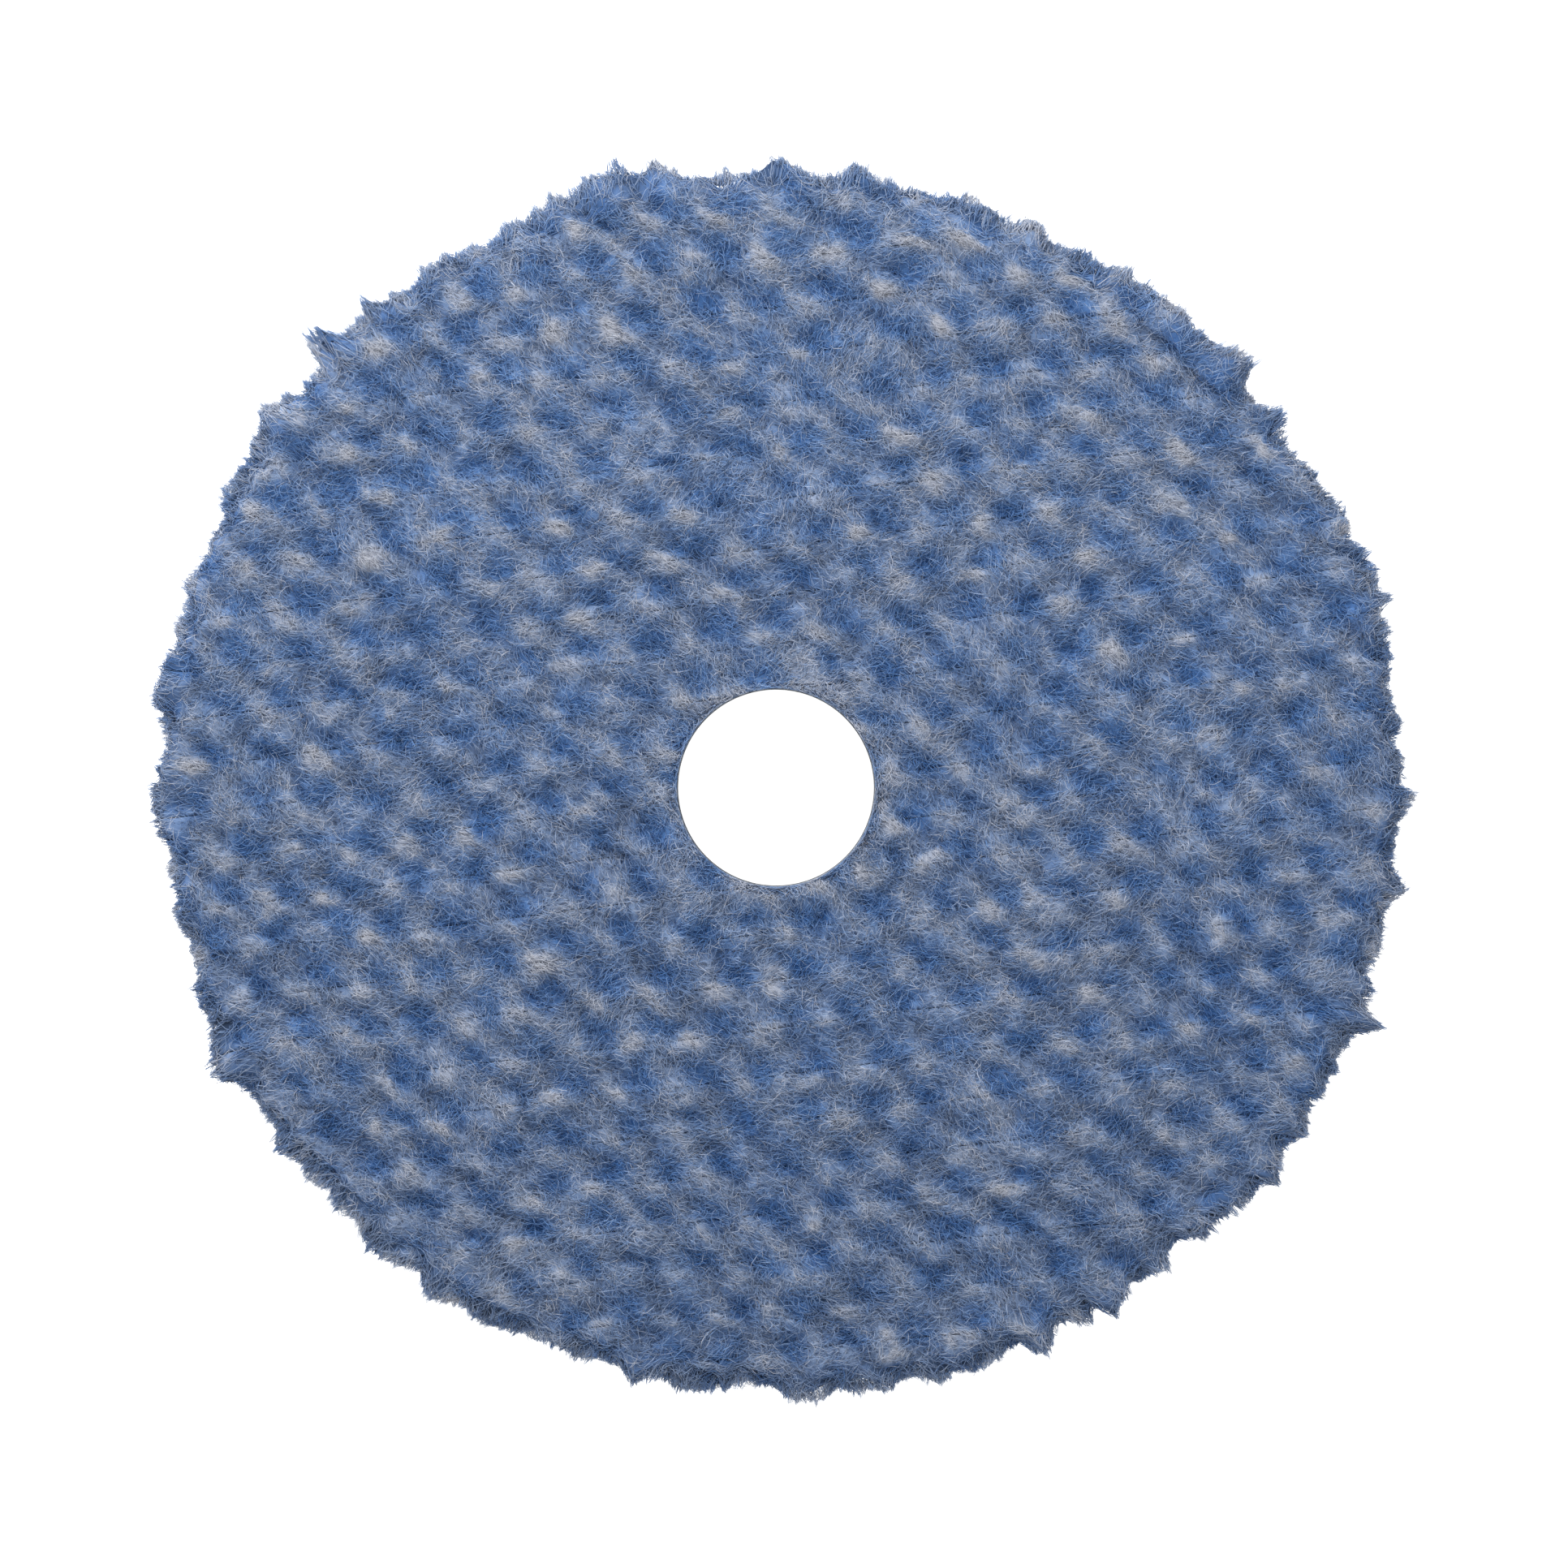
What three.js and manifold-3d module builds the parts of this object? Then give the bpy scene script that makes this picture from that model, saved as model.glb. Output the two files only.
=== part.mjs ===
// Polishing pad: a knitted two-colour pile on a foam interlayer, with a loop-fastener back and a centre hole.
// Millimetres, +Z up. The origin is the centre of the loop face, which lies on z = 0; the pile points up.
import * as THREE from 'three';
import { mergeVertices } from 'three/addons/utils/BufferGeometryUtils.js';
import Module from 'manifold-3d';

const wasm = await Module();
wasm.setup();

// Driving dimensions
const PAD_RADIUS = 75;
const HOLE_RADIUS = 12;
const CLOTH_RADIUS = 72;
const FOAM_BOTTOM_RADIUS = 69;
const LOOP_RADIUS = 67.5;

const LOOP_PILE_HEIGHT = 1.6;
const LOOP_CLOTH_THICKNESS = 0.6;
const FILM_THICKNESS = 0.3;
const FOAM_THICKNESS = 10;
const PILE_CLOTH_THICKNESS = 1.2;
const PILE_HEIGHT = 12;

const TUFT_PITCH = 7.6;
const COURSE_PITCH = 5.76;
const COURSE_SHIFT = 2.73;
const COURSE_ANGLE = THREE.MathUtils.degToRad(7.4);
const COURSE_COUNT = 26;
const COURSE_GAP = 0.3;

// Shape of a course and of the pile's outline
const SHOULDER_DROP = 2.6;
const TUFT_VALLEY = 1.4;
const RIM_BULGE_HEIGHT = 0.45;
const RIM_SHOULDER_HEIGHT = 0.8;
const RIM_SHOULDER_INSET = 1;
const RIM_TOP_INSET = 4.5;
const ROUND_STEPS = 72;
const CUT_MARGIN = 2;

// Levels of the laminate, from the loop face upwards
const LOOP_CLOTH_Z = LOOP_PILE_HEIGHT;
const BACKING_FILM_Z = LOOP_CLOTH_Z + LOOP_CLOTH_THICKNESS;
const FOAM_Z = BACKING_FILM_Z + FILM_THICKNESS;
const PILE_FILM_Z = FOAM_Z + FOAM_THICKNESS;
const PILE_CLOTH_Z = PILE_FILM_Z + FILM_THICKNESS;
const PILE_Z = PILE_CLOTH_Z + PILE_CLOTH_THICKNESS;
const PILE_TOP_Z = PILE_Z + PILE_HEIGHT;

function material(color, roughness) {
  return new THREE.MeshStandardMaterial({ color, roughness, metalness: 0 });
}

// A body of revolution about Z from points (radius, z) in order round its closed section.
function revolved(points) {
  const section = points.map(([radius, z]) => new THREE.Vector2(radius, z));
  section.push(section[0].clone());
  const geometry = new THREE.LatheGeometry(section, ROUND_STEPS);
  geometry.rotateX(Math.PI / 2);
  return geometry;
}

// A flat ring round the centre hole, its rim going from one radius at the bottom to another at the top.
function ring(bottomZ, topZ, bottomRadius, topRadius) {
  return revolved([
    [HOLE_RADIUS, bottomZ],
    [bottomRadius, bottomZ],
    [topRadius, topZ],
    [HOLE_RADIUS, topZ],
  ]);
}

function toSolid(geometry) {
  const bare = geometry.clone();
  bare.deleteAttribute('normal');
  bare.deleteAttribute('uv');
  const merged = mergeVertices(bare, 1e-4);
  return new wasm.Manifold(new wasm.Mesh({
    numProp: 3,
    vertProperties: new Float32Array(merged.attributes.position.array),
    triVerts: new Uint32Array(merged.index.array),
  }));
}

function toGeometry(solid) {
  const mesh = solid.getMesh();
  const geometry = new THREE.BufferGeometry();
  geometry.setAttribute('position', new THREE.BufferAttribute(mesh.vertProperties, mesh.numProp));
  geometry.setIndex(new THREE.BufferAttribute(mesh.triVerts, 1));
  geometry.computeVertexNormals();
  return geometry;
}

// Where all the tufts may stand: the pile swells past its cloth at the rim and is cut clean at the hole.
function pileOutline() {
  return revolved([
    [HOLE_RADIUS, PILE_Z - CUT_MARGIN],
    [CLOTH_RADIUS, PILE_Z - CUT_MARGIN],
    [CLOTH_RADIUS, PILE_Z],
    [PAD_RADIUS, PILE_Z + PILE_HEIGHT * RIM_BULGE_HEIGHT],
    [PAD_RADIUS - RIM_SHOULDER_INSET, PILE_Z + PILE_HEIGHT * RIM_SHOULDER_HEIGHT],
    [PAD_RADIUS - RIM_TOP_INSET, PILE_TOP_Z + CUT_MARGIN],
    [HOLE_RADIUS, PILE_TOP_Z + CUT_MARGIN],
  ]);
}

// One straight course, from start to end along X and centred on Y = 0, with a crest over each tuft.
function courseStrip(start, end, phase) {
  const halfWidth = (COURSE_PITCH - COURSE_GAP) / 2;
  const step = TUFT_PITCH / 2;
  const first = Math.floor((start - phase) / step) + 1;
  const last = Math.ceil((end - phase) / step) - 1;
  const stations = [start];
  for (let i = first; i <= last; i += 1) stations.push(phase + i * step);
  stations.push(end);

  const positions = [];
  for (const x of stations) {
    const valley = (1 - Math.cos((2 * Math.PI * (x - phase)) / TUFT_PITCH)) / 2;
    const crest = PILE_TOP_Z - TUFT_VALLEY * valley;
    const section = [
      [-halfWidth, PILE_Z],
      [halfWidth, PILE_Z],
      [halfWidth, crest - SHOULDER_DROP],
      [0, crest],
      [-halfWidth, crest - SHOULDER_DROP],
    ];
    for (const [y, z] of section) positions.push(x, y, z);
  }

  const sides = 5;
  const indices = [];
  for (let s = 0; s < stations.length - 1; s += 1) {
    for (let k = 0; k < sides; k += 1) {
      const a = s * sides + k;
      const b = s * sides + ((k + 1) % sides);
      indices.push(a, b, a + sides, b, b + sides, a + sides);
    }
  }
  const endBase = (stations.length - 1) * sides;
  for (let k = 1; k < sides - 1; k += 1) {
    indices.push(0, k + 1, k);
    indices.push(endBase, endBase + k, endBase + k + 1);
  }

  const geometry = new THREE.BufferGeometry();
  geometry.setAttribute('position', new THREE.Float32BufferAttribute(positions, 3));
  geometry.setIndex(indices);
  return geometry;
}

const pad = new THREE.Group();

function add(name, geometry, look) {
  const mesh = new THREE.Mesh(geometry, look);
  mesh.name = name;
  pad.add(mesh);
}

// The laminate below the pile
function addLaminate() {
  const loops = material(0x3a3e45, 1);
  const film = material(0xd8d4c4, 0.4);
  const foamTopRadius = CLOTH_RADIUS;
  add('loop_pile', ring(0, LOOP_CLOTH_Z, LOOP_RADIUS, LOOP_RADIUS), loops);
  add('loop_ground_cloth', ring(LOOP_CLOTH_Z, BACKING_FILM_Z, LOOP_RADIUS, LOOP_RADIUS), material(0x2c3036, 0.9));
  add('backing_adhesive_film', ring(BACKING_FILM_Z, FOAM_Z, LOOP_RADIUS, LOOP_RADIUS), film);
  add('foam_interlayer', ring(FOAM_Z, PILE_FILM_Z, FOAM_BOTTOM_RADIUS, foamTopRadius), material(0x6f7782, 0.95));
  add('pile_adhesive_film', ring(PILE_FILM_Z, PILE_CLOTH_Z, foamTopRadius, foamTopRadius), film);
  add('pile_ground_cloth', ring(PILE_CLOTH_Z, PILE_Z, CLOTH_RADIUS, CLOTH_RADIUS), material(0xa9afb8, 0.9));
}

// The pile: every course is cut to the outline, and one that the hole parts is two lengths.
function addPile() {
  const outline = toSolid(pileOutline());
  const yarn = material(0x62749a, 1);
  const reach = PAD_RADIUS + CUT_MARGIN;
  for (let i = 0; i < COURSE_COUNT; i += 1) {
    const offset = (i - (COURSE_COUNT - 1) / 2) * COURSE_PITCH;
    const shift = (i - (COURSE_COUNT - 1) / 2) * COURSE_SHIFT;
    const phase = shift - TUFT_PITCH * Math.round(shift / TUFT_PITCH);
    const number = String(i + 1).padStart(2, '0');
    const parted = Math.abs(offset) + COURSE_PITCH / 2 < HOLE_RADIUS;
    const lengths = parted
      ? [['_left', -reach, 0], ['_right', 0, reach]]
      : [['', -reach, reach]];
    for (const [side, start, end] of lengths) {
      const strip = courseStrip(start, end, phase);
      strip.translate(0, offset, 0);
      strip.rotateZ(COURSE_ANGLE);
      add(`pile_course_${number}${side}`, toGeometry(toSolid(strip).intersect(outline)), yarn);
    }
  }
}

addLaminate();
addPile();

export default pad;
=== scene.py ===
"""Polishing pad: a knitted blue and grey pile on foam, with a loop-fastener back and a centre hole.

The pile is made of real fibres, rooted in soft tufts that stand on a slanted lattice. Lengths inside the
functions are millimetres, and every mesh is scaled to metres when it is made.
"""
import math

import bpy
import numpy as np
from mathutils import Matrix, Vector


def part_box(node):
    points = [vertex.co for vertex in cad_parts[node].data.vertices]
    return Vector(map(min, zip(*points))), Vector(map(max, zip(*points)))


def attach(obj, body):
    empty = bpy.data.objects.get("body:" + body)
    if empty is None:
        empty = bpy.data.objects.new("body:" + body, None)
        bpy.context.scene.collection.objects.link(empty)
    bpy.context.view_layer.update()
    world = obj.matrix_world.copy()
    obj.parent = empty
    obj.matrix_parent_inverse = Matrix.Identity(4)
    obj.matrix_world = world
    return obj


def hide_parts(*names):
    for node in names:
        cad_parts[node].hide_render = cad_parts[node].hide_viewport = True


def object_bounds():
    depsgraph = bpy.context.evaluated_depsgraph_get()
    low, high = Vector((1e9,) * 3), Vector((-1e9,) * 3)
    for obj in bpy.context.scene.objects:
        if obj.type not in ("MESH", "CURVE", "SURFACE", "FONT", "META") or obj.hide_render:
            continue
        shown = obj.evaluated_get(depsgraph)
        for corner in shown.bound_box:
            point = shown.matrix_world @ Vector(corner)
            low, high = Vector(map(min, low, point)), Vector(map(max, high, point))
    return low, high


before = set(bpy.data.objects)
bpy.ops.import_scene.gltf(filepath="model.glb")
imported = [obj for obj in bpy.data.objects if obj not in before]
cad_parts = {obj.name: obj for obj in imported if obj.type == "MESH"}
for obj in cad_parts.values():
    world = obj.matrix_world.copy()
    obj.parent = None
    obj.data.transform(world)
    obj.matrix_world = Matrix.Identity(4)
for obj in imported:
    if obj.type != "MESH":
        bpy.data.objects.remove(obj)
cad_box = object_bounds()

MM = 0.001

# Places from the frame, in millimetres; the radius of the hole is the CAD part's own
HOLE_RADIUS = 12.0
PAD_RADIUS = (cad_box[1].x - cad_box[0].x) / 2 / MM
PILE_TOP = cad_box[1].z / MM
PILE_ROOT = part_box("pile_ground_cloth")[1].z / MM
COURSES = sorted(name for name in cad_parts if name.startswith("pile_course_"))

# Knitting: courses run along the first lattice step, and tufts merge into ridges across them
COURSE_ANGLE = math.radians(7.4)
COURSE_PITCH = 5.76
COURSE_COUNT = 26
LATTICE = np.array([[7.54, 1.96], [0.98, 6.07]])
LATTICE_INVERSE = np.linalg.inv(LATTICE)
LATTICE_REACH = 24
RIDGE = (LATTICE[:, 0] - LATTICE[:, 1]) / np.linalg.norm(LATTICE[:, 0] - LATTICE[:, 1])
ACROSS = np.array([-RIDGE[1], RIDGE[0]])

# The pile's mean surface: flat, then rolled over the rim and tucked in below
ROLL_START = 71.5
ROLL_RADIUS = 2.8
ROLL_ANGLE = math.radians(105)
TUCK_LENGTH = 8.4
SKIN_REACH = ROLL_START + ROLL_RADIUS * ROLL_ANGLE + TUCK_LENGTH
TUFT_DEPTH = 1.2
TUFT_LENGTH = 5.6
TUFT_WIDTH = 3.1
LIE_ANGLE = math.radians(-20)
CREST_ANGLE = math.radians(-10)

# Fibres
FIBRES_PER_MM2 = 8.2
LIP_FIBRES = 1600
FIBRE_STEPS = 3
FIBRE_RADIUS = 0.05
HAIR_SHARE = 0.13
WALL_FIBRES = 11000
TEETH = 3000
FIBRES_PER_TOOTH = 6

# Pointed locks round the rim, and the long ones among them: angle in degrees, reach and half width
LOCKS = 84
LOCK_STEP = 2 * math.pi / LOCKS
LONG_LOCKS = (
    (20, 2.8, 5), (37, 2.2, 2.4), (130.6, 3.0, 1.9), (135.5, 5.4, 2.3),
    (265.3, 2.1, 1.6), (322, 2.4, 4.6), (338.2, 3.6, 1.7), (359, 2.4, 2.2),
)

# Slow waves of the pad's outline: size, waves to a turn, and phase in degrees
OUTLINE_OFFSET = -0.2
OUTLINE_WAVES = (0.88, 1, -58), (0.92, 2, 44), (0.26, 3, 5)

# Painted light falloff: how much bluer and lighter the yarn is painted from the middle of the pad towards +Y,
# as in the photo; it stands in for light that falls off towards -Y
PAINTED_FALLOFF_BLUE = 0.16
PAINTED_FALLOFF_LIGHT = 0.115

# The yarn body inside each course
CORE_REACH = ROLL_START + ROLL_RADIUS - 0.7
CORE_FOOT = 69.2
CORE_DEPTH = 0.7
CORE_COLUMNS = 13
CORE_STATIONS = 200

# Both yarns from their darkest to their lightest, as screen values; the darkest stops are reached mostly by
# the painted shade of the yarn bodies
GREY_YARN = (34, 46, 66), (84, 107, 144), (131, 148, 176), (184, 187, 197)
BLUE_YARN = (24, 44, 74), (58, 103, 163), (103, 143, 196), (153, 177, 211)

# Foam, in which the wider cells are those on the wall of the hole, and loop nap
FOAM_TAPER = 3
FOAM_CELL = 1.1
FOAM_WIDE_CELL = 1.6
FOAM_CELL_DEPTH = 0.42
LOOP_PITCH = 1.15
LOOP_YARN_RADIUS = 0.085

# Camera and lamp, in metres but for the shift; the picture is FRAME_WIDTH wide at the top of the pile
CAMERA_DISTANCE = 1.5
FRAME_WIDTH = 0.1892
CAMERA_SHIFT = (0.98, 0.44)
LAMP_PLACE = (-0.32, 0.6, 0.62)

# One random value of each kind for every tuft and every lock
rng = np.random.default_rng(571)
span = 2 * LATTICE_REACH + 1
tuft_shift = rng.normal(0, 0.045, (span, span, 2))
tuft_height = rng.normal(0, 0.22, (span, span))
tuft_crest = rng.uniform(0.5, 1.15, (span, span))
tuft_blue = rng.uniform(0.75, 1.3, (span, span))
tuft_turn = CREST_ANGLE + rng.normal(0, 0.3, (span, span))
tuft_size = rng.uniform(0.8, 1.25, (span, span, 2)) * (2.3, 1.2)
tuft_reach = rng.normal(0, 0.4, (span, span))

lock_angle = (np.arange(LOCKS) + rng.uniform(-0.6, 0.6, LOCKS)) * LOCK_STEP
lock_reach = 0.2 + 3.4 * rng.beta(1.0, 3.0, LOCKS)
lock_half = rng.uniform(2.0, 4.8, LOCKS)
lock_level = rng.uniform(PILE_TOP - 4.5, PILE_TOP - 2, LOCKS)
lock_hook = rng.uniform(-0.55, 0.55, LOCKS)
for degrees, reach, half in LONG_LOCKS:
    nearest = int(round(math.radians(degrees) / LOCK_STEP)) % LOCKS
    lock_angle[nearest], lock_reach[nearest], lock_half[nearest] = math.radians(degrees), reach, half
    lock_level[nearest], lock_hook[nearest] = PILE_TOP - 3, 0


def smoothstep(low, high, x):
    """0 below low, 1 above high, and a smooth rise between."""
    t = np.clip((x - low) / (high - low), 0, 1)
    return t * t * (3 - 2 * t)


def drift(q, length, seed):
    """Smooth random waves of about that length over points q, with a spread of about 0.6."""
    table = np.random.default_rng(seed).normal(0, 1, (64, 64))
    place = q / length + 200
    cell = np.floor(place).astype(int)
    x, y = smoothstep(0, 1, place - cell).T
    i, j = cell.T % 64
    k, m = (i + 1) % 64, (j + 1) % 64
    low = table[i, j] * (1 - x) + table[k, j] * x
    high = table[i, m] * (1 - x) + table[k, m] * x
    return low * (1 - y) + high * y


# ---------------------------------------------------------------- the pile's surface


def skin(q):
    """Point and outward normal of the pile's mean surface, for points q of the cloth laid out flat."""
    rho = np.linalg.norm(q, axis=1)
    out = q / np.maximum(rho, 1e-6)[:, None]
    along = rho - ROLL_START
    angle = np.clip(along / ROLL_RADIUS, 0, ROLL_ANGLE)
    tuck = np.clip(along - ROLL_RADIUS * ROLL_ANGLE, 0, None)
    radius = np.minimum(rho, ROLL_START) + ROLL_RADIUS * np.sin(angle) + tuck * math.cos(ROLL_ANGLE)
    height = PILE_TOP - ROLL_RADIUS * (1 - np.cos(angle)) - tuck * math.sin(ROLL_ANGLE)
    point = np.column_stack([out * radius[:, None], height])
    normal = np.column_stack([out * np.sin(angle)[:, None], np.cos(angle)])
    return point, normal


def wander(q):
    """Slow bends of the knitted rows, and small ones that break up each tuft's outline."""
    slow = np.column_stack([drift(q, 21, 1), drift(q, 21, 2)])
    small = np.column_stack([drift(q, 2.7, 3), drift(q, 2.7, 4)])
    return q + 0.85 * slow + 0.45 * small


def bump(offset, x, y, half_x, half_y):
    """A soft spot, 1 at (x, y) and gone a little past its half widths."""
    return np.exp(-(((offset[:, 0] - x) / half_x) ** 2) - ((offset[:, 1] - y) / half_y) ** 2)


def tufts(q):
    """For flat points q: height over the mean surface, the rim tuft's reach, and its parts."""
    bent = wander(q)
    cell = bent @ LATTICE_INVERSE.T
    near = np.rint(cell).astype(int)
    total = np.zeros(len(q))
    weight = np.zeros(len(q))
    reach = np.zeros(len(q))
    crest = np.zeros(len(q))
    pit = np.zeros(len(q))
    grey = np.zeros(len(q))
    tail = np.zeros(len(q))
    for i in (-1, 0, 1):
        for j in (-1, 0, 1):
            at = near + (i, j)
            key = tuple(np.clip(at + LATTICE_REACH, 0, span - 1).T)
            offset = (cell - at - tuft_shift[key]) @ LATTICE.T
            s, t = offset @ RIDGE, offset @ ACROSS
            t = t * np.where(t > 0, 1.2, 0.88)
            dome = tuft_height[key] - TUFT_DEPTH * ((s / TUFT_LENGTH) ** 2 + (t / TUFT_WIDTH) ** 2)
            total += np.exp(dome * 3)
            weight += np.exp(dome * 6)
            reach += np.exp(dome * 6) * tuft_reach[key]
            c, d = np.cos(tuft_turn[key]), np.sin(tuft_turn[key])
            x = offset[:, 0] * c + offset[:, 1] * d
            y = offset[:, 1] * c - offset[:, 0] * d
            x = x * np.where(x > 0, 0.8, 1.2)
            y = y * np.where(y > 0, 1.35, 0.72)
            ellipse = (x / tuft_size[key][:, 0]) ** 2 + (y / tuft_size[key][:, 1]) ** 2
            crest = np.maximum(crest, tuft_crest[key] * np.exp(-(ellipse**1.5)))
            pit += tuft_blue[key] * bump(offset, 3.1, 1.6, 2.3, 1.6)
            grey += bump(offset, -1.3, 3.0, 1.9, 1.9)
            tail += bump(offset, 0.3, -1.7, 1.9, 1.1)
    crest = crest * np.clip(0.85 + 0.2 * drift(q, 14, 5) + 0.4 * drift(q, 1.5, 12), 0.1, 1.2)
    height = np.log(total) / 3 + 0.45 * crest - 0.3 * pit + 0.2 * drift(q, 2.1, 6)
    return {"height": height, "crest": crest, "reach": reach / weight, "pit": pit, "grey": grey, "tail": tail}


def look(q, tuft):
    """Share of blue yarn and lightness of the pile at flat points q; the lightness holds painted shade in the
    valleys and on the rolled rim, painted light on the crests, and a painted falloff of light towards -Y.
    """
    rise = np.clip(1 + tuft["height"] / TUFT_DEPTH, 0, 1.2)
    blue = 0.36 + 0.63 * tuft["pit"] - 0.5 * tuft["grey"] + 0.24 * tuft["tail"] + 0.15 * (1 - rise)
    # The last term is painted light falloff: bluer towards +Y.
    blue += 0.06 * drift(q, 9, 7) + 0.08 * drift(q, 2.0, 8) + PAINTED_FALLOFF_BLUE * q[:, 1] / ROLL_START
    rho = np.linalg.norm(q, axis=1)
    edge = smoothstep(ROLL_START - 2, ROLL_START + 3.5, rho)
    lip = 1 - smoothstep(HOLE_RADIUS, HOLE_RADIUS + 5, rho)
    blue = np.clip(blue, 0, 1) * (1 - 0.95 * np.clip(tuft["crest"], 0, 1)) * (1 - 0.5 * edge)
    # Painted shade and light: darker in the valleys between tufts and lighter up on them (rise); the crests
    # are lighter both for their paler yarn and for painted light where their tops catch the lamp.
    shade = 0.26 + 0.23 * rise + 0.39 * tuft["crest"] + 0.08 * tuft["tail"] + 0.05 * tuft["grey"]
    shade += 0.03 * drift(q, 7, 9) + 0.1 * drift(q, 1.2, 10)
    # Painted shade: a little darker where the pile rolls over the rim (edge), besides its greyer yarn there;
    # lighter round the hole (lip); and lighter towards +Y as painted light falloff.
    return blue, shade - 0.06 * edge + 0.19 * lip + PAINTED_FALLOFF_LIGHT * q[:, 1] / ROLL_START


def lock_rise(theta, level):
    """How far the rim's locks stand out at an angle and a level."""
    nearest = np.rint(theta / LOCK_STEP).astype(int)
    rise = np.zeros(len(theta))
    for k in range(-2, 3):
        i = (nearest + k) % LOCKS
        turn = (theta - lock_angle[i] + math.pi) % (2 * math.pi) - math.pi
        x = turn * PAD_RADIUS / lock_half[i]
        x = np.abs(x) / (1 + lock_hook[i] * np.sign(x))
        depth = np.exp(-(((level - lock_level[i]) / 3.6) ** 2))
        rise = np.maximum(rise, lock_reach[i] * np.clip(1 - x, 0, 1) ** 1.25 * depth)
    return rise


def leaned(point):
    """Points moved for the pad's slightly uneven outline and its locks, and kept out of the hole."""
    theta = np.arctan2(point[:, 1], point[:, 0])
    radius = np.maximum(np.linalg.norm(point[:, :2], axis=1), 1e-6)
    up = smoothstep(PILE_ROOT, PILE_TOP - 3, point[:, 2])
    swell = smoothstep(30, 72, radius) * up
    lean = OUTLINE_OFFSET
    for size, waves, phase in OUTLINE_WAVES:
        lean = lean + size * np.cos(waves * theta + math.radians(phase))
    place = point[:, :2] + point[:, 2:] * (0.8, -0.7)
    ragged = 0.4 * drift(place, 2.2, 13) + 0.28 * drift(place, 0.9, 14)
    sideways = (0.6 * drift(place, 1.6, 15) + 0.3 * drift(place, 0.7, 16)) / PAD_RADIUS
    rim = smoothstep(ROLL_START - 3, ROLL_START + 3, radius)
    locks = lock_rise(theta + sideways, point[:, 2])
    grown = np.maximum(radius + swell * lean + rim * (locks + ragged), HOLE_RADIUS)
    moved = point.copy()
    moved[:, :2] *= (grown / radius)[:, None]
    return moved


def on_pile(q, lift, tuft):
    """Points at a lift above the tufted surface."""
    point, normal = skin(q)
    edge = smoothstep(ROLL_START - 4, ROLL_START + 3, np.linalg.norm(q, axis=1))
    rise = tuft["height"] * (1 - 0.5 * edge) + edge * tuft["reach"] + lift
    return leaned(point + normal * rise[:, None])


# ---------------------------------------------------------------- meshes


def build_mesh(name, points, triangles, attributes=None):
    """A mesh object from points in millimetres and triangles, with float values at its points."""
    mesh = bpy.data.meshes.new(name)
    mesh.vertices.add(len(points))
    mesh.vertices.foreach_set("co", (np.asarray(points, np.float32) * MM).ravel())
    mesh.loops.add(3 * len(triangles))
    mesh.loops.foreach_set("vertex_index", np.asarray(triangles, np.int32).ravel())
    mesh.polygons.add(len(triangles))
    mesh.polygons.foreach_set("loop_start", np.arange(0, 3 * len(triangles), 3, dtype=np.int32))
    mesh.update(calc_edges=True)
    mesh.shade_smooth()
    for key, values in (attributes or {}).items():
        layer = mesh.attributes.new(key, "FLOAT", "POINT")
        layer.data.foreach_set("value", np.asarray(values, np.float32))
    piece = bpy.data.objects.new(name, mesh)
    bpy.context.scene.collection.objects.link(piece)
    return piece


def tube_faces(rings, sides, count):
    """Triangles of count closed tubes of so many rings, each with a flat start and a pointed end."""
    faces = [(0, k + 1, k) for k in range(1, sides - 1)]
    for r in range(rings - 1):
        for k in range(sides):
            a, b = sides * r + k, sides * r + (k + 1) % sides
            faces += [(a, b, a + sides), (b, b + sides, a + sides)]
    last = sides * (rings - 1)
    faces += [(last + k, last + (k + 1) % sides, last + sides) for k in range(sides)]
    per = rings * sides + 1
    return (np.array(faces)[None] + per * np.arange(count)[:, None, None]).reshape(-1, 3), per


def tubes(paths, radii, roll):
    """Three-sided tubes along paths (n, k, 3): their points, their triangles, and the points in each."""
    count, rings = paths.shape[0], paths.shape[1] - 1
    tangent = np.gradient(paths, axis=1)
    tangent /= np.maximum(np.linalg.norm(tangent, axis=2, keepdims=True), 1e-9)
    helper = np.column_stack([np.cos(roll), np.sin(roll), 0.35 * np.cos(2.3 * roll)])[:, None, :]
    side = np.cross(tangent, helper)
    side /= np.maximum(np.linalg.norm(side, axis=2, keepdims=True), 1e-9)
    other = np.cross(tangent, side)
    turns = [2 * math.pi * k / 3 for k in range(3)]
    ring = np.stack([math.cos(turn) * side + math.sin(turn) * other for turn in turns], axis=2)
    body = paths[:, :rings, None, :] + ring[:, :rings] * radii[:, :rings, None, None]
    points = np.concatenate([body.reshape(count, rings * 3, 3), paths[:, rings:, :]], axis=1)
    triangles, per = tube_faces(rings, 3, count)
    return points.reshape(-1, 3), triangles, per


def course_of(points):
    """Which course, and which side of the hole, points of the pile belong to."""
    x, y = points[:, 0], points[:, 1]
    across = -x * math.sin(COURSE_ANGLE) + y * math.cos(COURSE_ANGLE)
    along = x * math.cos(COURSE_ANGLE) + y * math.sin(COURSE_ANGLE)
    index = np.clip(np.floor(across / COURSE_PITCH + COURSE_COUNT / 2).astype(int), 0, COURSE_COUNT - 1)
    return index, along


def of_course(number, side, index, along):
    """Which of the given roots belong to one course, or to its half on one side of the hole."""
    mine = index == number
    if side:
        mine &= (along < 0) if side == "left" else (along >= 0)
    return mine


def joined(bodies):
    """Several bodies of (points, triangles, blue, shade) as one."""
    points, triangles, blues, shades = zip(*bodies)
    starts = np.cumsum([0] + [len(p) for p in points[:-1]])
    triangles = [t + start for t, start in zip(triangles, starts)]
    return np.concatenate(points), np.concatenate(triangles), np.concatenate(blues), np.concatenate(shades)


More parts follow.
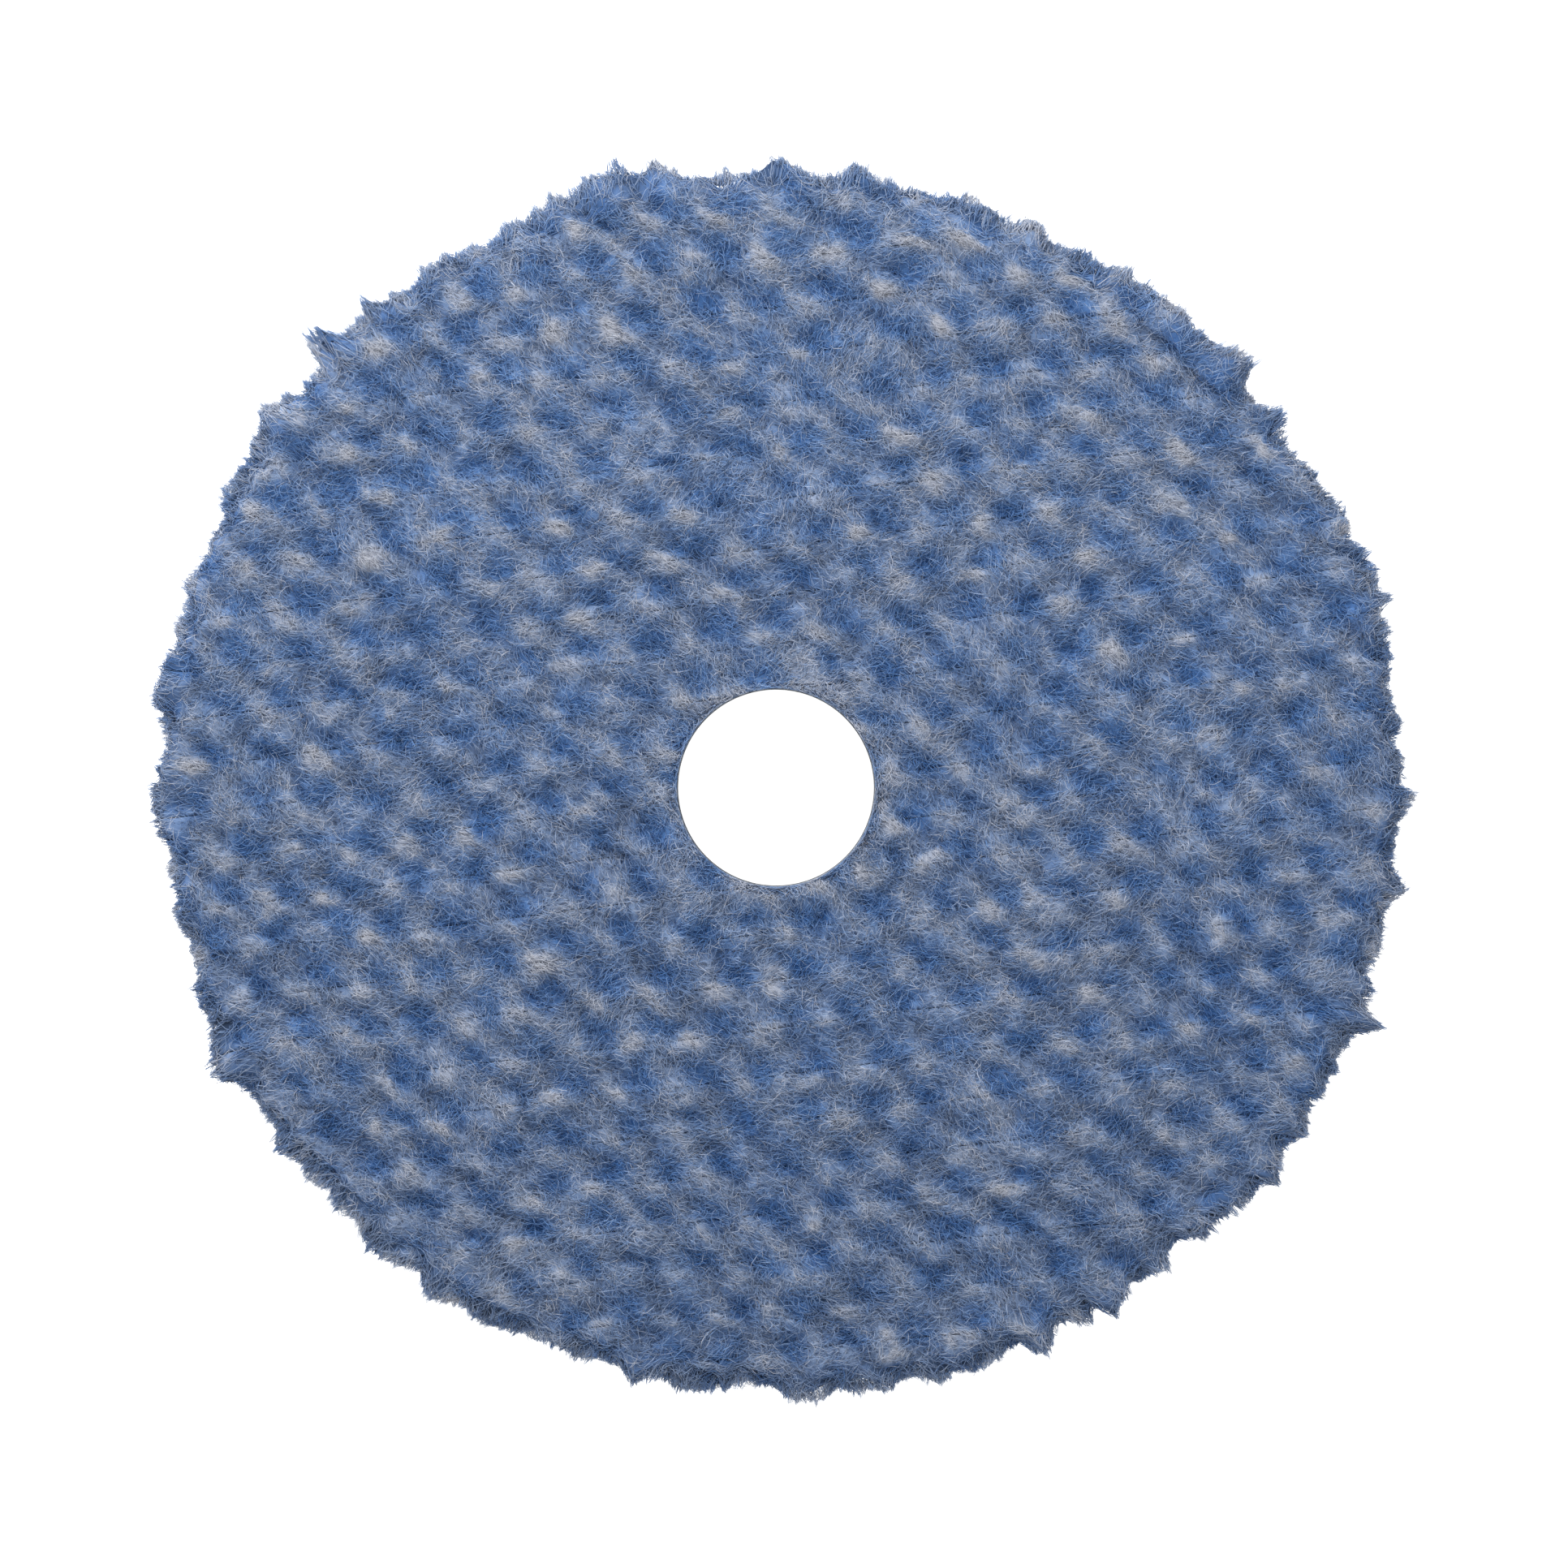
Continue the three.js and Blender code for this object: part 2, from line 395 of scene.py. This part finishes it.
def grow_fibres():
    """The fibres that lie over the pile: paths, radii, and blue and light values along each."""
    area = math.pi * (SKIN_REACH**2 - HOLE_RADIUS**2)
    count = int(area * FIBRES_PER_MM2) + LIP_FIBRES
    rho = np.sqrt(rng.uniform(HOLE_RADIUS**2, SKIN_REACH**2, count))
    rho[:LIP_FIBRES] = rng.uniform(HOLE_RADIUS, HOLE_RADIUS + 0.9, LIP_FIBRES)
    theta = rng.uniform(0, 2 * math.pi, count)
    root = np.column_stack([rho * np.cos(theta), rho * np.sin(theta)])
    hair = rng.random(count) < HAIR_SHARE

    edge = smoothstep(ROLL_START, ROLL_START + 3.5, rho)
    crest = np.clip(tufts(root)["crest"], 0, 1)
    lie = LIE_ANGLE + 0.75 * drift(root, 7, 11) * (1 - 0.7 * crest) + math.pi * (rng.random(count) < 0.5)
    lie_x, lie_y = np.cos(lie) * (1 - edge), np.sin(lie) * (1 - edge)
    heading = np.arctan2(lie_y + edge * np.sin(theta), lie_x + edge * np.cos(theta))
    heading += (rng.normal(0, 0.68, count) + hair * rng.normal(0, 1.0, count)) * (1 - 0.5 * crest)
    length = np.where(hair, rng.uniform(1.4, 3.2, count), rng.uniform(1.5, 3.6, count) * (1 - 0.2 * crest))
    length[:LIP_FIBRES] *= 0.5
    curl = rng.normal(0, 1.4, count) + hair * rng.normal(0, 1.0, count)
    reached = root + length[:, None] * np.column_stack([np.cos(heading), np.sin(heading)])
    nearer = np.linalg.norm(reached, axis=1) < np.maximum(rho, HOLE_RADIUS + 1.5)
    heading = np.where((rho < HOLE_RADIUS + 3.5) & nearer, heading + math.pi, heading)
    tip_lift = np.where(hair, rng.uniform(0.1, 0.75, count), rng.uniform(-0.2, 0.4, count))
    mid_lift = rng.uniform(0.0, 0.35, count) + 0.15 * hair

    own_blue = rng.normal(0, 0.17, count) - 0.3 * hair
    own_shade = rng.normal(0, 0.21, count) + 0.25 * hair * (1 - 0.6 * crest)
    paths, blues, shades = [], [], []
    flat = root.copy()
    for k in range(FIBRE_STEPS + 1):
        part = k / FIBRE_STEPS
        if k:
            angle = heading + curl * (part - 0.5)
            flat = flat + (length / FIBRE_STEPS)[:, None] * np.column_stack([np.cos(angle), np.sin(angle)])
        rise = -0.8 + 2 * part * (mid_lift + 0.8)
        lift = rise if part < 0.5 else mid_lift + (2 * part - 1) * (tip_lift - mid_lift)
        tuft = tufts(flat)
        paths.append(on_pile(flat, lift, tuft))
        blue, shade = look(flat, tuft)
        calm = 1 - 0.55 * np.clip(tuft["crest"], 0, 1)
        blues.append(np.clip(blue + own_blue * calm, 0, 1))
        # Painted shade: each fibre is painted a little darker towards its root, deep in the pile, and lighter
        # towards its tip.
        shades.append(np.clip(shade + own_shade * calm + 0.1 * (part - 0.5), 0.03, None))
    radii = FIBRE_RADIUS * rng.uniform(0.7, 1.25, count) * (1 - 0.25 * hair)
    return np.stack(paths, axis=1), radii, mellow(blues), mellow(shades)


def mellow(values):
    """Values along each fibre, drawn towards the fibre's own mean, because one yarn dyes alike along it."""
    values = np.stack(values, axis=1)
    return 0.7 * values + 0.3 * values.mean(axis=1, keepdims=True)


def grow_wall():
    """Cut fibres that face the centre hole."""
    count = WALL_FIBRES
    theta = rng.uniform(0, 2 * math.pi, count)
    height = rng.uniform(PILE_ROOT + 0.2, PILE_TOP - 0.6, count)
    slant = rng.normal(0, 0.9, count)
    length = rng.uniform(1.2, 2.8, count)
    paths = []
    for k in range(FIBRE_STEPS + 1):
        part = k / FIBRE_STEPS
        radius = HOLE_RADIUS + 0.02 + 0.4 * (1 - part) ** 2 + rng.uniform(0, 0.12, count)
        turn = theta + length * part * np.sin(slant) / HOLE_RADIUS
        level = np.clip(height + length * (part - 0.5) * np.cos(slant), PILE_ROOT + 0.05, PILE_TOP - 0.3)
        paths.append(np.column_stack([radius * np.cos(turn), radius * np.sin(turn), level]))
    steps = np.ones((1, FIBRE_STEPS + 1))
    flat = np.column_stack([np.cos(theta), np.sin(theta)]) * (HOLE_RADIUS + 1)
    blue = look(flat, tufts(flat))[0] + rng.normal(0, 0.2, count)
    # Painted shade: the wall's fibres are painted darker the deeper they sit in the hole.
    shade = 0.36 + 0.25 * ((height - PILE_ROOT) / 12) ** 2 + rng.normal(0, 0.1, count)
    radii = FIBRE_RADIUS * rng.uniform(0.8, 1.3, count)
    return np.stack(paths, axis=1), radii, np.clip(blue, 0, 1)[:, None] * steps, shade[:, None] * steps


def grow_fringe():
    """Short fibres gathered into the small teeth of the rim."""
    theta = rng.uniform(0, 2 * math.pi, TEETH)
    rho = ROLL_START + ROLL_RADIUS * rng.uniform(1.1, 1.9, TEETH)
    spot = np.column_stack([np.cos(theta), np.sin(theta)]) * rho[:, None]
    tip = on_pile(spot + rng.normal(0, 0.35, (TEETH, 2)), rng.uniform(0.35, 0.95, TEETH), tufts(spot))
    tooth = np.repeat(np.arange(TEETH), FIBRES_PER_TOOTH)
    count = len(tooth)
    flat = spot[tooth] + rng.normal(0, 0.3, (count, 2))
    tuft = tufts(flat)
    root = on_pile(flat, -0.4, tuft)
    end = tip[tooth] + rng.normal(0, 0.07, (count, 3))
    bend = rng.normal(0, 0.08, (count, 3))
    steps = np.linspace(0, 1, FIBRE_STEPS + 1)
    paths = root[:, None] + (end - root)[:, None] * steps[None, :, None]
    paths += (4 * steps * (1 - steps))[None, :, None] * bend[:, None]
    blue, shade = look(flat, tuft)
    blue = np.clip(blue + rng.normal(0, 0.2, count), 0, 1)[:, None] + 0 * steps
    shade = (shade + rng.normal(0, 0.14, count))[:, None] + 0 * steps
    return paths, FIBRE_RADIUS * rng.uniform(0.8, 1.2, count), blue, shade


def course_core(index, side):
    """The dense yarn body of one course, a closed strip with a tufted top, with its colour values, which are
    painted dark as shade.
    """
    reach, foot, columns, stations = CORE_REACH, CORE_FOOT, CORE_COLUMNS, CORE_STATIONS
    low = max((index - COURSE_COUNT / 2) * COURSE_PITCH + 0.05, 0.4 - reach)
    high = min((index + 1 - COURSE_COUNT / 2) * COURSE_PITCH - 0.05, reach - 0.4)
    across = np.linspace(low, high, columns)
    outer = np.sqrt(reach**2 - across**2)
    inner = np.sqrt(np.clip((HOLE_RADIUS + 0.3) ** 2 - across**2, 0, None))
    start, end = {"left": (-outer, -inner), "right": (inner, outer), "": (-outer, outer)}[side]
    part = (1 - np.cos(math.pi * np.linspace(0, 1, stations))) / 2
    along = start + (end - start) * part[:, None]
    across = np.broadcast_to(across, along.shape)
    c, s = math.cos(COURSE_ANGLE), math.sin(COURSE_ANGLE)
    spot = np.stack([along * c - across * s, along * s + across * c], axis=2).reshape(-1, 2)
    radius = np.linalg.norm(spot, axis=1)
    spot *= (np.maximum(radius, HOLE_RADIUS + 0.3) / radius)[:, None]
    roll = np.clip((radius - ROLL_START) / (reach - ROLL_START), 0, 1)
    flat = spot * ((radius + ROLL_RADIUS * np.arcsin(roll) - (reach - ROLL_START) * roll) / radius)[:, None]
    tuft = tufts(flat)
    upper = on_pile(flat, -CORE_DEPTH + 0.25 * roll, tuft).reshape(stations, columns, 3)
    spot *= (np.minimum(radius, foot) / radius)[:, None]
    lower = np.column_stack([spot, np.full(len(spot), PILE_ROOT)]).reshape(stations, columns, 3)[:, ::-1]
    points, triangles = closed_strip(np.concatenate([upper, lower], axis=1))
    blue, shade = look(flat, tuft)
    blue = blue.reshape(stations, columns)
    # Painted shade: the yarn body is painted darker than the pile over it, much darker where it rolls over
    # the rim, and dark on its underside, so that where it shows between fibres it reads as deep shade.
    shade = (shade - 0.12 - 0.6 * roll).reshape(stations, columns)
    blue = np.concatenate([blue, blue[:, ::-1]], axis=1).ravel()
    shade = np.concatenate([shade, np.full((stations, columns), -0.3)], axis=1).ravel()
    return points, triangles, blue, shade


def closed_strip(section):
    """A closed body from cross-sections (n, k, 3) whose points go round each section."""
    n, k = section.shape[:2]
    ring = np.arange(k)
    after = (ring + 1) % k
    base = (np.arange(n - 1) * k)[:, None]
    a, b = (base + ring).ravel(), (base + after).ravel()
    sides = np.concatenate([np.column_stack([a, a + k, b]), np.column_stack([b, a + k, b + k])])
    rung = np.arange(k // 2 - 1)
    ladder = np.column_stack([rung, rung + 1, k - 2 - rung, rung, k - 2 - rung, k - 1 - rung]).reshape(-1, 3)
    caps = np.concatenate([ladder, (n - 1) * k + ladder[:, ::-1]])
    triangles = np.concatenate([sides, caps])
    points = section.reshape(-1, 3)
    return facing_out(points, triangles)


# ---------------------------------------------------------------- materials


def new_material(name, roughness, sheen=0.0):
    """A material with its nodes, its links and its shader."""
    made = bpy.data.materials.new(name)
    made.use_nodes = True
    shader = made.node_tree.nodes["Principled BSDF"]
    shader.inputs["Roughness"].default_value = roughness
    shader.inputs["Sheen Weight"].default_value = sheen
    shader.inputs["Specular IOR Level"].default_value = 0.2
    return made, made.node_tree.nodes, made.node_tree.links, shader


def linear(rgb):
    """A colour given as 0 to 255 screen values, as the linear values that a socket holds."""
    scaled = [v / 255 for v in rgb]
    return [v / 12.92 if v <= 0.04045 else ((v + 0.055) / 1.055) ** 2.4 for v in scaled] + [1.0]


def ramp(nodes, stops):
    """A colour ramp with stops of (place, screen colour)."""
    node = nodes.new("ShaderNodeValToRGB")
    while len(node.color_ramp.elements) < len(stops):
        node.color_ramp.elements.new(0.5)
    for element, (place, rgb) in zip(node.color_ramp.elements, stops):
        element.position = place
        element.color = linear(rgb)
    return node


def even_stops(*colours):
    """Colours spread evenly from 0 to 1, for ramp()."""
    return [(k / (len(colours) - 1), colour) for k, colour in enumerate(colours)]


def noise(nodes, links, scale, detail=3.0):
    """Noise that sits in the object, with so many lumps to a metre."""
    place = nodes.new("ShaderNodeTexCoord")
    node = nodes.new("ShaderNodeTexNoise")
    node.inputs["Scale"].default_value = scale
    node.inputs["Detail"].default_value = detail
    links.new(place.outputs["Object"], node.inputs["Vector"])
    return node


def yarn_material():
    """Felted wool of two yarns: each point says how blue and how light it is."""
    made, nodes, links, shader = new_material("wool_pile", 0.95, 0.08)
    blue = nodes.new("ShaderNodeAttribute")
    blue.attribute_name = "blue"
    shade = nodes.new("ShaderNodeAttribute")
    shade.attribute_name = "shade"
    mottle = noise(nodes, links, 900)
    spread = nodes.new("ShaderNodeMath")
    spread.operation = "MULTIPLY_ADD"
    spread.inputs[1].default_value = 0.2
    links.new(mottle.outputs["Fac"], spread.inputs[0])
    links.new(shade.outputs["Fac"], spread.inputs[2])
    # Values below 0, mostly the painted shade of the yarn bodies, reach the darkest stops.
    shift = nodes.new("ShaderNodeMath")
    shift.operation = "MULTIPLY_ADD"
    shift.inputs[1].default_value = 2 / 3
    shift.inputs[2].default_value = 0.8 / 3
    links.new(spread.outputs[0], shift.inputs[0])
    greys = ramp(nodes, even_stops(*GREY_YARN))
    blues = ramp(nodes, even_stops(*BLUE_YARN))
    mix = nodes.new("ShaderNodeMix")
    mix.data_type = "RGBA"
    links.new(shift.outputs[0], greys.inputs["Fac"])
    links.new(shift.outputs[0], blues.inputs["Fac"])
    links.new(blue.outputs["Fac"], mix.inputs["Factor"])
    links.new(greys.outputs["Color"], mix.inputs["A"])
    links.new(blues.outputs["Color"], mix.inputs["B"])
    links.new(mix.outputs["Result"], shader.inputs["Base Color"])
    return made


def plain_material(name, dark, light, scale, roughness, sheen=0.0, value=None):
    """A procedural finish that goes from dark to light with noise, or with a value held at the points."""
    made, nodes, links, shader = new_material(name, roughness, sheen)
    grain = noise(nodes, links, scale)
    colours = ramp(nodes, [(0.3, dark), (0.7, light)])
    factor = grain.outputs["Fac"]
    if value:
        held = nodes.new("ShaderNodeAttribute")
        held.attribute_name = value
        both = nodes.new("ShaderNodeMath")
        both.operation = "MULTIPLY_ADD"
        both.inputs[1].default_value = 0.5
        links.new(factor, both.inputs[0])
        links.new(held.outputs["Fac"], both.inputs[2])
        factor = both.outputs[0]
    links.new(factor, colours.inputs["Fac"])
    links.new(colours.outputs["Color"], shader.inputs["Base Color"])
    return made


# ---------------------------------------------------------------- the pile


def make_pile():
    """Every course: its yarn body and all the fibres that root in it, as one piece."""
    wool = yarn_material()
    groups = zip(grow_fibres(), grow_fringe(), grow_wall())
    paths, radii, blues, shades = (np.concatenate(group) for group in groups)
    index, along = course_of(paths[:, 0])
    roll = rng.uniform(0, 2 * math.pi, len(paths))
    taper = np.linspace(1.0, 0.55, FIBRE_STEPS + 1)
    ring_of = np.repeat(np.arange(FIBRE_STEPS), 3).tolist() + [FIBRE_STEPS]
    for name in COURSES:
        words = name.split("_")
        number, side = int(words[2]) - 1, words[3] if len(words) > 3 else ""
        mine = of_course(number, side, index, along)
        points, triangles, _ = tubes(paths[mine], radii[mine][:, None] * taper, roll[mine])
        fibres = points, triangles, blues[mine][:, ring_of].ravel(), shades[mine][:, ring_of].ravel()
        points, triangles, blue, shade = joined([course_core(number, side), fibres])
        piece = build_mesh(name.replace("pile", "wool"), points, triangles, {"blue": blue, "shade": shade})
        piece.data.materials.append(wool)
        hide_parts(name)
        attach(piece, "root")


# ---------------------------------------------------------------- the laminate below


def span_of(node):
    """Outer radius, and lowest and highest level, of a ring in the frame."""
    low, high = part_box(node)
    return (high.x - low.x) / 2 / MM, low.z / MM, high.z / MM


def cells(across, up, wrap, seed):
    """Cell noise on a wall: distances to the nearest two of the random points, one in each unit square."""
    shift = np.random.default_rng(seed).uniform(0.1, 0.9, (wrap, 64, 2))
    i, j = np.floor(across).astype(int), np.floor(up).astype(int)
    nearest = np.full((2,) + across.shape, 9.0)
    for m in (-1, 0, 1):
        for n in (-1, 0, 1):
            spot = shift[(i + m) % wrap, (j + n) % 64]
            far = np.hypot(i + m + spot[..., 0] - across, j + n + spot[..., 1] - up)
            second = np.minimum(nearest[1], np.maximum(nearest[0], far))
            nearest = np.stack([np.minimum(nearest[0], far), second])
    return nearest


def closed_ring(grid):
    """Triangles over a grid of points (n, k, 3) that closes on itself both ways, facing outwards."""
    n, k = grid.shape[:2]
    i, j = np.meshgrid(np.arange(n), np.arange(k), indexing="ij")
    a, b = (i * k + j).ravel(), (i * k + (j + 1) % k).ravel()
    c, d = ((i + 1) % n * k + j).ravel(), ((i + 1) % n * k + (j + 1) % k).ravel()
    triangles = np.concatenate([np.column_stack([a, c, b]), np.column_stack([b, c, d])])
    return facing_out(grid.reshape(-1, 3), triangles)


def facing_out(points, triangles):
    """A closed body's points and triangles, turned over if its faces looked inwards."""
    corner = points[triangles]
    volume = np.einsum("ij,ij->i", corner[:, 0], np.cross(corner[:, 1], corner[:, 2])).sum()
    return points, triangles if volume > 0 else triangles[:, ::-1]


def around(section, count):
    """A section of (radius, height) points turned round the axis: a grid (count, len(section), 3)."""
    theta = np.linspace(0, 2 * math.pi, count, endpoint=False)[:, None]
    radius, height = np.asarray(section).T
    return theta, np.stack([radius * np.cos(theta), radius * np.sin(theta), height + 0 * theta], axis=2)


def place(piece, material, slot, *nodes):
    """Gives a piece its material, hides the CAD nodes it stands for, and hangs it on the root body."""
    piece.data.materials.append(material)
    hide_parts(*nodes)
    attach(piece, "root")
    return piece


def make_foam():
    """Open-cell foam: the pores show on the rim and on the wall of the hole."""
    top_radius, low, high = span_of("foam_interlayer")
    foot_radius = top_radius - FOAM_TAPER
    level = np.linspace(low, high, 32)
    outer = [(foot_radius + (top_radius - foot_radius) * (z - low) / (high - low), z) for z in level]
    inner = [(HOLE_RADIUS, z) for z in np.linspace(high, low, 20)]
    top = [(r, high) for r in (60, 40, 20)]
    bottom = [(r, low) for r in (20, 40, 60)]
    bottom += [(foot_radius - inset, low) for inset in (1.6, 1.2, 0.8, 0.4)]
    section = np.array(outer + top + inner + bottom)
    theta, grid = around(section, 1500)
    radius = section[:, 0]
    wrap = int(2 * math.pi * foot_radius / FOAM_CELL)
    inner_wrap = int(2 * math.pi * HOLE_RADIUS / FOAM_WIDE_CELL)
    is_outer = radius > foot_radius - 2
    is_inner = radius < HOLE_RADIUS + 0.1
    past_foot = (foot_radius - radius) * (section[:, 1] <= low)
    path = np.where(is_outer, section[:, 1] - low - past_foot, section[:, 1])
    turns = theta / (2 * math.pi)
    first, second = cells(turns * wrap + 0 * path, path / FOAM_CELL + 10 + 0 * turns, wrap, 21)
    near, far = cells(turns * inner_wrap + 0 * path, path / FOAM_WIDE_CELL + 10 + 0 * turns, inner_wrap, 22)
    pit = np.where(is_outer, smoothstep(0.03, 0.4, second - first), 0)
    pit += np.where(is_inner, smoothstep(0.03, 0.4, far - near), 0)
    wall = (section[:, 1] > low + 0.01) & (section[:, 1] < high - 0.01)
    under = is_outer & (section[:, 1] <= low + 0.01)
    sideways = np.where(is_inner, 1.0, -1.0) * pit * wall * FOAM_CELL_DEPTH
    scale = 1 + sideways / np.maximum(radius, 1)
    grid[:, :, :2] *= scale[:, :, None]
    grid[:, :, 2] += 0.3 * pit * under
    points, triangles = closed_ring(grid)
    # Painted shade: the pores are painted darker than the foam between them.
    piece = build_mesh("foam_open_cell", points, triangles, {"depth": 0.55 - 0.55 * pit.ravel()})
    skin_of = plain_material("foam_cells", (84, 92, 102), (126, 134, 144), 700, 0.9, 0.0, "depth")
    place(piece, skin_of, "foam", "foam_interlayer")
    return piece


def make_cloth(name, node, slot, stitch, material):
    """A knitted cloth cut to a ring: its cut edge shows the stitches."""
    radius, low, high = span_of(node)
    thick = high - low
    edge = [(radius - 0.12 * abs(2 * k / 6 - 1) ** 2, low + thick * k / 6) for k in range(7)]
    top = [(r, high) for r in np.linspace(radius - 0.4, HOLE_RADIUS + 0.4, 9)]
    inner = [(HOLE_RADIUS, high - thick * k / 4) for k in range(5)]
    bottom = [(r, low) for r in np.linspace(HOLE_RADIUS + 0.4, radius - 0.4, 9)]
    section = np.array(edge + top + inner + bottom)
    theta, grid = around(section, 900)
    count = int(2 * math.pi * radius / stitch)
    wale = np.cos(theta * count)
    up = (section[:, 1] - low) / thick
    rim = section[:, 0] > radius - 0.3
    dent = np.where(rim, 0.16 * (1 - wale * np.cos(2 * math.pi * up)) / 2, 0)
    dent += np.where(rim, 0.1 * np.abs(np.sin(theta * count / 2 + 3 * up)), 0)
    grid[:, :, :2] *= (1 - dent / np.maximum(section[:, 0], 1))[:, :, None]
    x, y = grid[:, :, 0], grid[:, :, 1]
    knit = 0.04 * thick * (1 + np.sin(x * 2 * math.pi / stitch) * np.sin(y * 2 * math.pi / stitch))
    grid[:, :, 2] += np.where(up > 0.99, -knit, np.where(up < 0.01, knit, 0))
    points, triangles = closed_ring(grid)
    piece = build_mesh(name, points, triangles)
    place(piece, material, slot, node)
    return piece


def make_loops(material):
    """The nap of the fastener: small loops that stand out of a thin felt, in four quarters."""
    radius, low, high = span_of("loop_pile")
    across, up = np.meshgrid(np.arange(-70, 70, LOOP_PITCH), np.arange(-70, 70, LOOP_PITCH * 0.866))
    across[::2] += LOOP_PITCH / 2
    spot = np.column_stack([across.ravel(), up.ravel()])
    spot += rng.normal(0, 0.16, spot.shape)
    far = np.linalg.norm(spot, axis=1)
    spot = spot[(far > HOLE_RADIUS + 0.7) & (far < radius - 0.7)]
    count = len(spot)
    turn = rng.uniform(0, 2 * math.pi, count)
    way = np.column_stack([np.cos(turn), np.sin(turn), np.zeros(count)])
    lean = np.column_stack([rng.normal(0, 0.22, (count, 2)), np.zeros(count)])
    width = rng.uniform(0.28, 0.5, count)[:, None]
    drop = rng.uniform(0.78, 0.97, count)[:, None]
    centre = np.column_stack([spot, np.full(count, high - 0.3)])
    tall = (high - low - 0.3 - LOOP_YARN_RADIUS) * drop
    paths = []
    for k in range(7):
        a = math.pi * (k / 6 * 1.3 - 0.15)
        fall = np.array([0, 0, -1.0]) * tall * max(math.sin(a), -0.2)
        paths.append(centre - way * width * math.cos(a) + fall + lean * max(math.sin(a), 0))
    paths = np.stack(paths, axis=1)
    quarter = (np.arctan2(spot[:, 1], spot[:, 0]) // (math.pi / 2)).astype(int) % 4
    roll = rng.uniform(0, 2 * math.pi, count)
    tone = rng.uniform(0, 0.5, count)
    for k in range(4):
        mine = quarter == k
        points, triangles, per = tubes(paths[mine], np.full((mine.sum(), 7), LOOP_YARN_RADIUS), roll[mine])
        piece = build_mesh(f"loop_nap_{k + 1}", points, triangles, {"tone": np.repeat(tone[mine], per)})
        place(piece, material, "loop_cloth", "loop_pile")
    section = [(HOLE_RADIUS, high - 0.45), (radius, high - 0.45), (radius, high), (HOLE_RADIUS, high)]
    fine = []
    for (r0, z0), (r1, z1) in zip(section, section[1:] + section[:1]):
        steps = max(2, int(math.hypot(r1 - r0, z1 - z0) / 0.9))
        fine += [(r0 + (r1 - r0) * k / steps, z0 + (z1 - z0) * k / steps) for k in range(steps)]
    theta, grid = around(fine, 620)
    under = np.array(fine)[:, 1] < high - 0.4
    flat = grid[:, :, :2].reshape(-1, 2)
    grid[:, :, 2] -= np.where(under, 0.12 * drift(flat, 0.8, 31).reshape(grid.shape[:2]), 0)
    points, triangles = closed_ring(grid)
    felt = build_mesh("loop_felt", points, triangles, {"tone": np.zeros(len(points))})
    place(felt, material, "loop_cloth", "loop_pile")


def make_laminate():
    """Everything below the pile; the two films stay the CAD's own nodes."""
    foam = make_foam()
    greige = plain_material("ground_knit", (126, 134, 148), (172, 178, 188), 1500, 0.9, 0.1)
    make_cloth("ground_knit", "pile_ground_cloth", "pile_cloth", 1.9, greige)
    charcoal = plain_material("loop_fabric", (44, 48, 54), (88, 94, 102), 1800, 0.9, 0.2, "tone")
    make_cloth("loop_knit", "loop_ground_cloth", "loop_cloth", 1.2, charcoal)
    make_loops(charcoal)
    film = plain_material("clear_adhesive", (196, 190, 172), (222, 217, 202), 300, 0.35)
    for node in ("pile_adhesive_film", "backing_adhesive_film"):
        thing = bpy.data.objects[node]
        thing.data.materials.clear()
        thing.data.materials.append(film)


# ---------------------------------------------------------------- stage, light and camera


def make_stage():
    """A pale table that glows a little, so that it stays white, with soft light from above and behind."""
    bpy.ops.mesh.primitive_circle_add(vertices=96, radius=4, fill_type="NGON", location=(0, 0, -0.0002))
    floor = bpy.context.object
    floor.name = "floor"
    made, _, _, shader = new_material("table", 0.9)
    shader.inputs["Base Color"].default_value = (0.5, 0.5, 0.5, 1)
    shader.inputs["Emission Color"].default_value = (1, 1, 1, 1)
    shader.inputs["Emission Strength"].default_value = 1.0
    floor.data.materials.append(made)

    world = bpy.data.worlds.new("studio")
    world.use_nodes = True
    background = world.node_tree.nodes["Background"]
    background.inputs["Color"].default_value = (1, 1, 1, 1)
    background.inputs["Strength"].default_value = 0.85
    bpy.context.scene.world = world

    lamp = bpy.data.lights.new("softbox", "AREA")
    lamp.shape = "DISK"
    lamp.size = 0.8
    lamp.energy = 9.8
    box = bpy.data.objects.new("softbox", lamp)
    box.location = LAMP_PLACE
    aim(box, (0, 0, 0))
    bpy.context.scene.collection.objects.link(box)


def aim(thing, target):
    """Turns a light towards a point."""
    offset = np.array(target) - np.array(thing.location)
    yaw = math.atan2(offset[1], offset[0]) - math.pi / 2
    flat = math.hypot(offset[0], offset[1])
    thing.rotation_euler = (math.atan2(offset[2], flat) + math.pi / 2, 0, yaw)


def make_camera():
    """Straight down on the pile, a little off its axis."""
    data = bpy.data.cameras.new("camera")
    data.sensor_width = 36
    data.lens = data.sensor_width * CAMERA_DISTANCE / FRAME_WIDTH
    data.clip_end = 20
    camera = bpy.data.objects.new("camera", data)
    camera.location = (CAMERA_SHIFT[0] * MM, CAMERA_SHIFT[1] * MM, PILE_TOP * MM + CAMERA_DISTANCE)
    bpy.context.scene.collection.objects.link(camera)
    bpy.context.scene.camera = camera


make_camera()
make_stage()
make_pile()
make_laminate()
bpy.context.scene.view_settings.view_transform = "Standard"

bpy.context.view_layer.update()
